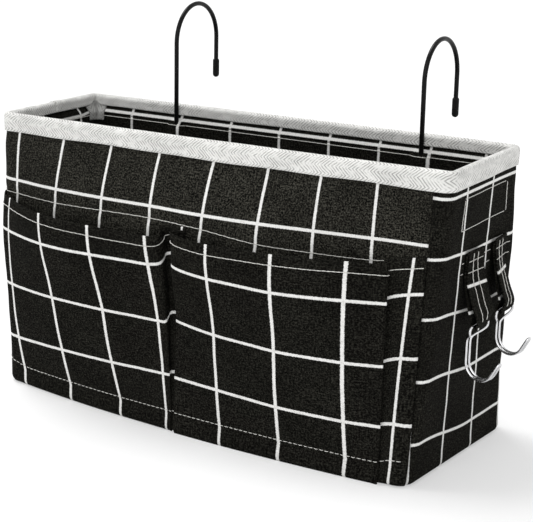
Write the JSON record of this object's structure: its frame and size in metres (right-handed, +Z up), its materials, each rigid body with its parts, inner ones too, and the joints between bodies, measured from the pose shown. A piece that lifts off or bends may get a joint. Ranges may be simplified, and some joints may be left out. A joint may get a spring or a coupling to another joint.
{
  "type": "bedside caddy",
  "caption": "Stiffened cloth box with a bound rim, pleated front pockets, swivelling wire hooks for a bed rail and small wire hooks on straps at one end.",
  "frame": {"origin": "on the standing surface, under the middle of the rim", "axes": "+X along the length to the end with the small hooks, +Y to the back with the rail hooks, +Z up"},
  "size_m": [0.3821, 0.1901, 0.2806],
  "materials": {
    "canvas": "woven, matt, with a white window-pane check",
    "binding_tape": "herringbone twill tape",
    "stiffener": "plain board",
    "black_wire": "gloss black coating",
    "cap_rubber": "satin dipped cap",
    "bright_wire": "bright plated"
  },
  "bodies": {
    "box": {"front_panel": "canvas", "right_side_panel": "canvas", "back_panel": "canvas", "left_side_panel": "canvas", "base_panel": "canvas", "front_lining": "canvas", "right_lining": "canvas", "left_lining": "canvas", "base_lining": "canvas", "back_lining": "canvas", "back_facing": "canvas", "left_pocket": "canvas", "right_pocket": "canvas", "left_hook_sleeve": "canvas", "right_hook_sleeve": "canvas", "front_strap_tab": "canvas", "rear_strap_tab": "canvas", "front_board": "stiffener", "right_board": "stiffener", "back_board": "stiffener", "left_board": "stiffener", "base_board": "stiffener", "rim_binding": "binding_tape"},
    "left_hook": {"left_rail_hook": "black_wire", "left_hook_tip": "cap_rubber", "left_hook_foot": "cap_rubber"},
    "right_hook": {"right_rail_hook": "black_wire", "right_hook_tip": "cap_rubber", "right_hook_foot": "cap_rubber"},
    "front_loop": {"front_strap_loop": "canvas"},
    "front_small_hook": {"front_key_hook": "bright_wire"},
    "rear_loop": {"rear_strap_loop": "canvas"},
    "rear_small_hook": {"rear_key_hook": "bright_wire"}
  },
  "joints": [
    {"name": "left_hook_swivel", "type": "hinge", "parent": "box", "child": "left_hook", "pos_m": [-0.095, 0.0474, 0.19], "axis": [0, 0, 1], "range_deg": [-90, 90]},
    {"name": "right_hook_swivel", "type": "hinge", "parent": "box", "child": "right_hook", "pos_m": [0.108, 0.0474, 0.19], "axis": [0, 0, 1], "range_deg": [-90, 90]},
    {"name": "front_loop_swing", "type": "hinge", "parent": "box", "child": "front_loop", "pos_m": [0.17586, -0.01329, 0.131], "axis": [0, -1, 0], "range_deg": [0, 80]},
    {"name": "front_small_hook_swing", "type": "hinge", "parent": "front_loop", "child": "front_small_hook", "pos_m": [0.18336, -0.01329, 0.1], "axis": [0, -1, 0], "range_deg": [-4, 90]},
    {"name": "rear_loop_swing", "type": "hinge", "parent": "box", "child": "rear_loop", "pos_m": [0.17586, 0.02855, 0.131], "axis": [0, -1, 0], "range_deg": [0, 80]},
    {"name": "rear_small_hook_swing", "type": "hinge", "parent": "rear_loop", "child": "rear_small_hook", "pos_m": [0.18336, 0.02855, 0.1], "axis": [0, -1, 0], "range_deg": [-4, 90]}
  ]
}
